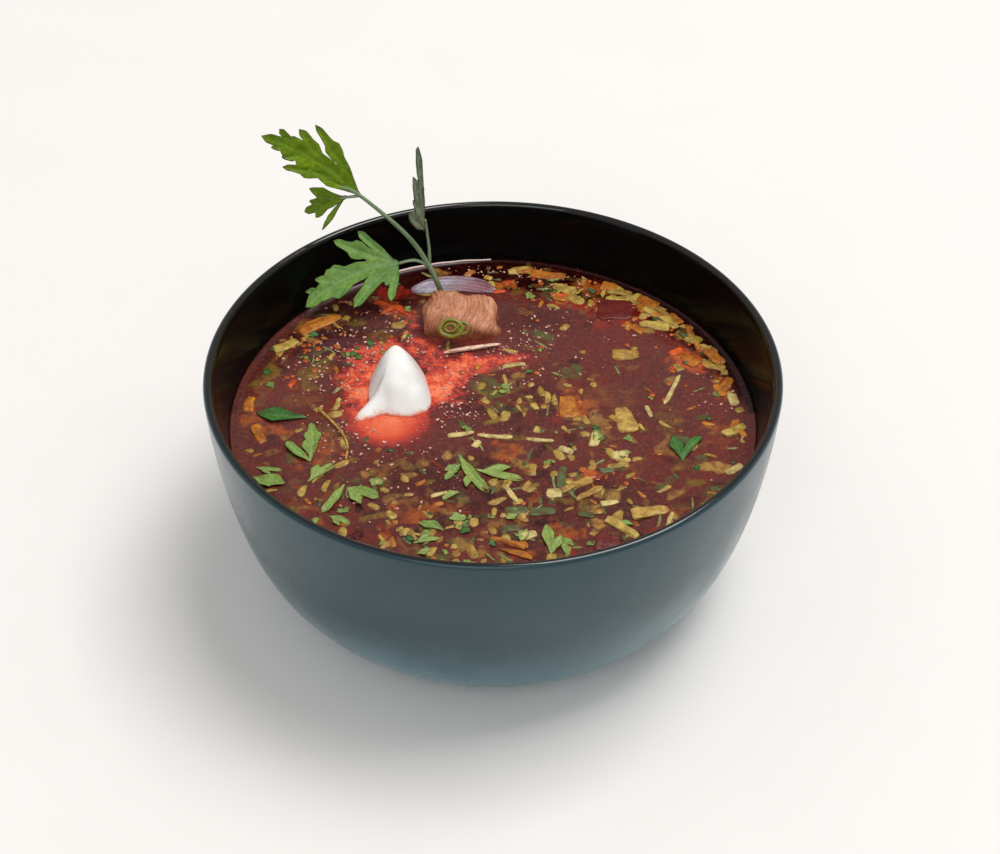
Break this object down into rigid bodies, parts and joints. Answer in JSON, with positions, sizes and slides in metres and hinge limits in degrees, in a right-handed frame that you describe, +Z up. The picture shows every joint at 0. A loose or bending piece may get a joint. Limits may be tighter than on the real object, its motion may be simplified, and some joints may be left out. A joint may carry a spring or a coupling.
{
  "type": "bowl of borscht",
  "caption": "Deep round stoneware bowl of beetroot soup with beef, sour cream, floating vegetables and a parsley sprig.",
  "frame": {"origin": "on the bowl's axis, at the surface it stands on", "axes": "+Z up along the bowl's axis, -Y towards the front, +X to the right"},
  "size_m": [0.16, 0.16, 0.1078],
  "materials": {
    "bowl_glaze": "glossy black glaze inside and on the rim, satin slate blue-grey outside",
    "broth": "wet beetroot broth, a clear brownish red with fat on it",
    "sour_cream": "smooth, thick sour cream with a soft sheen",
    "boiled_beef": "boiled beef with fibres, moist",
    "onion": "translucent onion stained lilac",
    "scallion": "wet olive green scallion",
    "cabbage": "cooked pale green cabbage, wet",
    "potato": "cooked potato stained by the broth",
    "carrot": "cooked carrot, wet",
    "beetroot": "cooked beetroot, dark red and wet",
    "parsley_fresh": "fresh flat parsley, leaf green with paler veins",
    "parsley_floating": "chopped parsley, wet, dulled by the hot broth"
  },
  "bodies": {
    "root": {"beef_cube": "boiled_beef", "beetroot_slice_back": "beetroot", "beetroot_slice_front": "beetroot", "bowl": "bowl_glaze", "cabbage_chunk_right": "cabbage", "cabbage_piece_back": "cabbage", "cabbage_piece_left": "cabbage", "cabbage_shred": "cabbage", "cabbage_strip_front": "cabbage", "carrot_chunk_left": "carrot", "carrot_piece_back_a": "carrot", "carrot_piece_back_b": "carrot", "carrot_piece_right_a": "carrot", "carrot_piece_right_b": "carrot", "carrot_slice_back_left": "carrot", "carrot_stick_front_a": "carrot", "carrot_stick_front_b": "carrot", "carrot_strip_back": "carrot", "carrot_strip_left": "carrot", "carrot_wedge_middle": "carrot", "onion_slice": "onion", "parsley_leaf_far_left": "parsley_floating", "parsley_leaf_front": "parsley_floating", "parsley_leaf_front_dark": "parsley_floating", "parsley_leaf_front_left": "parsley_floating", "parsley_leaf_left_dark": "parsley_floating", "parsley_leaf_left_light": "parsley_floating", "parsley_leaf_low_left": "parsley_floating", "parsley_leaf_middle": "parsley_floating", "parsley_leaf_right": "parsley_floating", "parsley_sprig": "parsley_fresh", "potato_chunk_middle": "potato", "potato_piece_right": "potato", "potato_slab_front": "potato", "potato_stick_front_a": "potato", "potato_stick_front_b": "potato", "scallion_ring": "scallion", "soup": "broth", "sour_cream": "sour_cream"}
  },
  "joints": []
}
